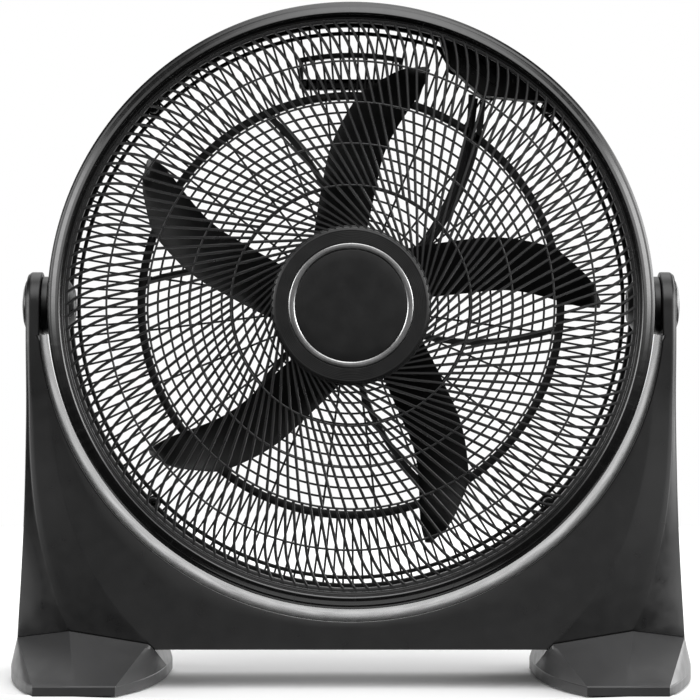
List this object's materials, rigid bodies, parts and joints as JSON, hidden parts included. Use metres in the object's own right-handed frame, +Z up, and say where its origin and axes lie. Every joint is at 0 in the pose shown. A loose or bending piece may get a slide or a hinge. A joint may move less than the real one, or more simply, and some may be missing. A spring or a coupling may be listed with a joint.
{
  "type": "tilting floor fan",
  "caption": "Round drum floor fan with a swirl grille, tilting between the arms of a U-shaped cradle on two spread feet.",
  "frame": {"origin": "on the floor, under the middle of the stand", "axes": "+Z up, the fan blows towards -Y, +X is to the right seen from the front"},
  "size_m": [0.614, 0.224, 0.6028],
  "materials": {
    "cradle_plastic": "satin dark grey moulding",
    "foot_plastic": "satin dark grey moulding, a little lighter",
    "silver_trim": "fine grained silver",
    "gloss_bezel": "glossy dark grey moulding",
    "grille_plastic": "satin black moulding",
    "badge_silver": "satin silver ring",
    "blade_plastic": "black, semi-gloss",
    "rubber": "matt black rubber",
    "steel": "zinc plated",
    "copper": "enamelled copper wire",
    "motor_steel": "dark painted pressed steel",
    "electrical_plastic": "dark grey moulding"
  },
  "bodies": {
    "stand": {"cradle_front_shell": "cradle_plastic", "cradle_rear_cover": "cradle_plastic", "saddle_trim": "silver_trim", "cover_screw_1": "steel", "cover_screw_2": "steel", "cover_screw_3": "steel", "cover_screw_4": "steel", "foot_screw_1": "steel", "foot_screw_2": "steel", "foot_screw_3": "steel", "foot_screw_4": "steel", "left_foot": "foot_plastic", "left_foot_pad_front": "rubber", "left_foot_pad_rear": "rubber", "left_friction_disc": "cradle_plastic", "left_pivot_cap": "gloss_bezel", "right_foot": "foot_plastic", "right_foot_pad_front": "rubber", "right_foot_pad_rear": "rubber", "right_friction_disc": "cradle_plastic", "right_pivot_cap": "gloss_bezel"},
    "head": {"drum_shell": "grille_plastic", "bezel_ring": "gloss_bezel", "front_grille": "grille_plastic", "hub_cover": "cradle_plastic", "badge_ring": "badge_silver", "rear_grille": "grille_plastic", "carry_handle": "grille_plastic", "switch_box": "grille_plastic", "rotary_switch": "electrical_plastic", "cord_gland": "rubber", "motor_lead": "rubber", "grille_screw_1": "steel", "grille_screw_2": "steel", "grille_screw_3": "steel", "grille_screw_4": "steel", "motor_front_bracket": "motor_steel", "motor_rear_bracket": "motor_steel", "stator_core": "steel", "front_winding": "copper", "rear_winding": "copper", "front_bearing": "steel", "rear_bearing": "steel", "motor_cover": "grille_plastic", "capacitor": "electrical_plastic", "motor_screw_1": "steel", "motor_screw_2": "steel", "motor_screw_3": "steel", "motor_screw_4": "steel", "left_pivot_bolt": "steel", "left_pivot_nut": "steel", "right_pivot_bolt": "steel", "right_pivot_nut": "steel"},
    "rotor": {"fan_blade": "blade_plastic", "motor_shaft": "steel", "rotor_core": "steel", "blade_nut": "gloss_bezel"},
    "knob": {"speed_knob": "gloss_bezel"}
  },
  "joints": [
    {"name": "head_tilt", "type": "hinge", "parent": "stand", "child": "head", "pos_m": [0, 0, 0.3375], "axis": [1, 0, 0], "range_deg": [-90, 30]},
    {"name": "rotor_spin", "type": "hinge", "parent": "head", "child": "rotor", "pos_m": [0, 0, 0.3375], "axis": [0, 1, 0], "continuous": true},
    {"name": "knob_turn", "type": "hinge", "parent": "head", "child": "knob", "pos_m": [0.12824, 0.066, 0.54273], "axis": [0, 1, 0], "range_deg": [0, 135]}
  ]
}
